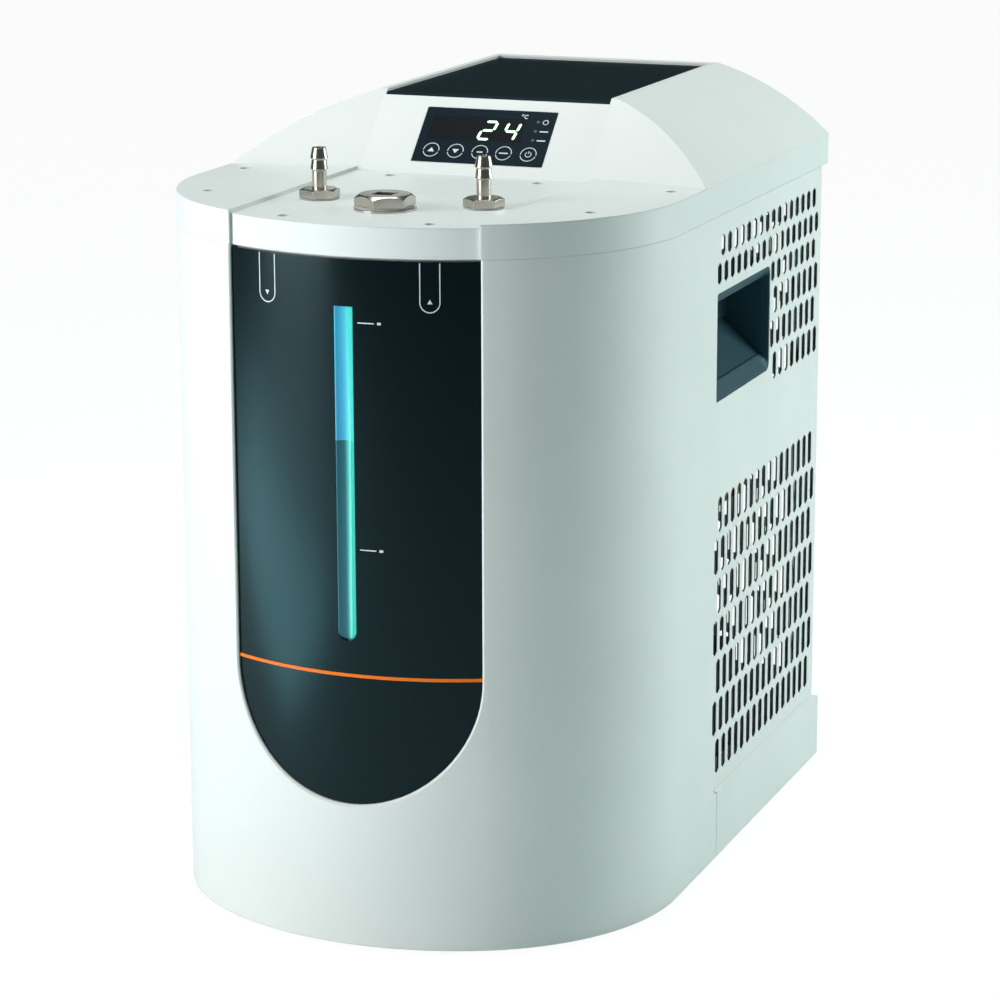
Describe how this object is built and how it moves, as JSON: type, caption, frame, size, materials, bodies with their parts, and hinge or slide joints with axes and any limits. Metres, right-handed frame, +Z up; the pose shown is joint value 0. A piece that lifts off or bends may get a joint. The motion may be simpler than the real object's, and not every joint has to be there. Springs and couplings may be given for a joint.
{
  "type": "recirculating chiller",
  "caption": "Bench-top recirculating chiller: white housing with a round front, dark level window, sloped controller, hose nozzles, filler plug and vented sides.",
  "frame": {"origin": "on the floor, under the middle of the housing", "axes": "+X to the unit's right seen from the front, +Y from the front to the back, +Z up"},
  "size_m": [0.28, 0.406, 0.429],
  "materials": {
    "white_shell": "satin moulded housing",
    "slate_plastic": "dark slate panel, semi-gloss",
    "grip_plastic": "slate moulded grip",
    "orange": "orange inlay",
    "gauge": "clear blue-green plastic",
    "nickel": "nickel-plated brass",
    "steel": "zinc-plated steel",
    "rubber": "black rubber",
    "lens": "smoked display lens",
    "black_plastic": "black plastic",
    "tank": "translucent moulded tank",
    "foam": "closed-cell foam",
    "hose": "rubber hose",
    "black_steel": "black painted steel",
    "copper": "copper tube",
    "brass": "brass",
    "aluminium": "thin aluminium fins",
    "board": "circuit board"
  },
  "bodies": {
    "housing": {"base_tray": "white_shell", "rubber_feet": "rubber", "front_shell": "white_shell", "front_window": "slate_plastic", "accent_stripe": "orange", "level_gauge": "gauge", "top_cover": "white_shell", "top_mat": "slate_plastic", "deck_screws": "steel", "display_fascia": "slate_plastic", "display_lens": "lens", "controller_housing": "black_plastic", "handle_cup_left": "grip_plastic", "handle_cup_right": "grip_plastic", "chassis_frame": "steel", "rear_panel": "white_shell", "rear_screws": "steel", "return_nozzle": "nickel", "supply_nozzle": "nickel", "nozzle_seals": "rubber", "nozzle_nuts": "nickel", "filler_neck": "nickel", "reservoir_tank": "tank", "tank_lid": "tank", "tank_foam": "foam", "plate_exchanger": "steel", "pump_housing": "black_plastic", "pump_motor": "black_steel", "pump_bracket": "steel", "suction_hose": "hose", "pressure_hose": "hose", "supply_hose": "hose", "return_hose": "hose", "compressor": "black_steel", "compressor_grommets": "rubber", "compressor_bolts": "steel", "terminal_cover": "black_plastic", "condenser_fins": "aluminium", "condenser_coil": "copper", "fan_shroud": "black_steel", "fan_motor": "black_steel", "filter_drier": "copper", "service_valve": "brass", "discharge_line": "copper", "liquid_line": "copper", "capillary_line": "copper", "suction_line": "copper", "power_board": "board", "mains_inlet": "black_plastic", "inlet_pins": "nickel", "switch_frame": "black_plastic", "drain_valve": "brass"},
    "fan": {"fan_blade": "black_plastic", "fan_shaft": "steel"},
    "pump_rotor": {"pump_impeller": "black_plastic"},
    "seal_ring": {"filler_seal": "rubber"},
    "plug": {"filler_plug": "nickel"},
    "rocker": {"mains_rocker": "black_plastic"},
    "drain_key": {"drain_knob": "black_plastic"}
  },
  "joints": [
    {"name": "fan_spin", "type": "hinge", "parent": "housing", "child": "fan", "pos_m": [-0.106, 0.082, 0.154], "axis": [1, 0, 0], "continuous": true},
    {"name": "pump_spin", "type": "hinge", "parent": "housing", "child": "pump_rotor", "pos_m": [0, -0.143, 0.066], "axis": [0, 1, 0], "continuous": true},
    {"name": "plug_lift", "type": "slide", "parent": "housing", "child": "seal_ring", "axis": [0, 0, 1], "range_m": [0, 0.0091]},
    {"name": "plug_turn", "type": "hinge", "parent": "seal_ring", "child": "plug", "pos_m": [0, -0.145, 0.39], "axis": [0, 0, 1], "range_deg": [0, 2160]},
    {"name": "switch_rock", "type": "hinge", "parent": "housing", "child": "rocker", "pos_m": [-0.014, 0.1885, 0.082], "axis": [-1, 0, 0], "range_deg": [0, 14]},
    {"name": "drain_turn", "type": "hinge", "parent": "housing", "child": "drain_key", "pos_m": [0.024, 0.195, 0.066], "axis": [0, 1, 0], "range_deg": [0, 90]}
  ],
  "couplings": [
    {"joint": "plug_lift", "follows": "plug_turn", "m_per_rad": 0.00023873}
  ]
}
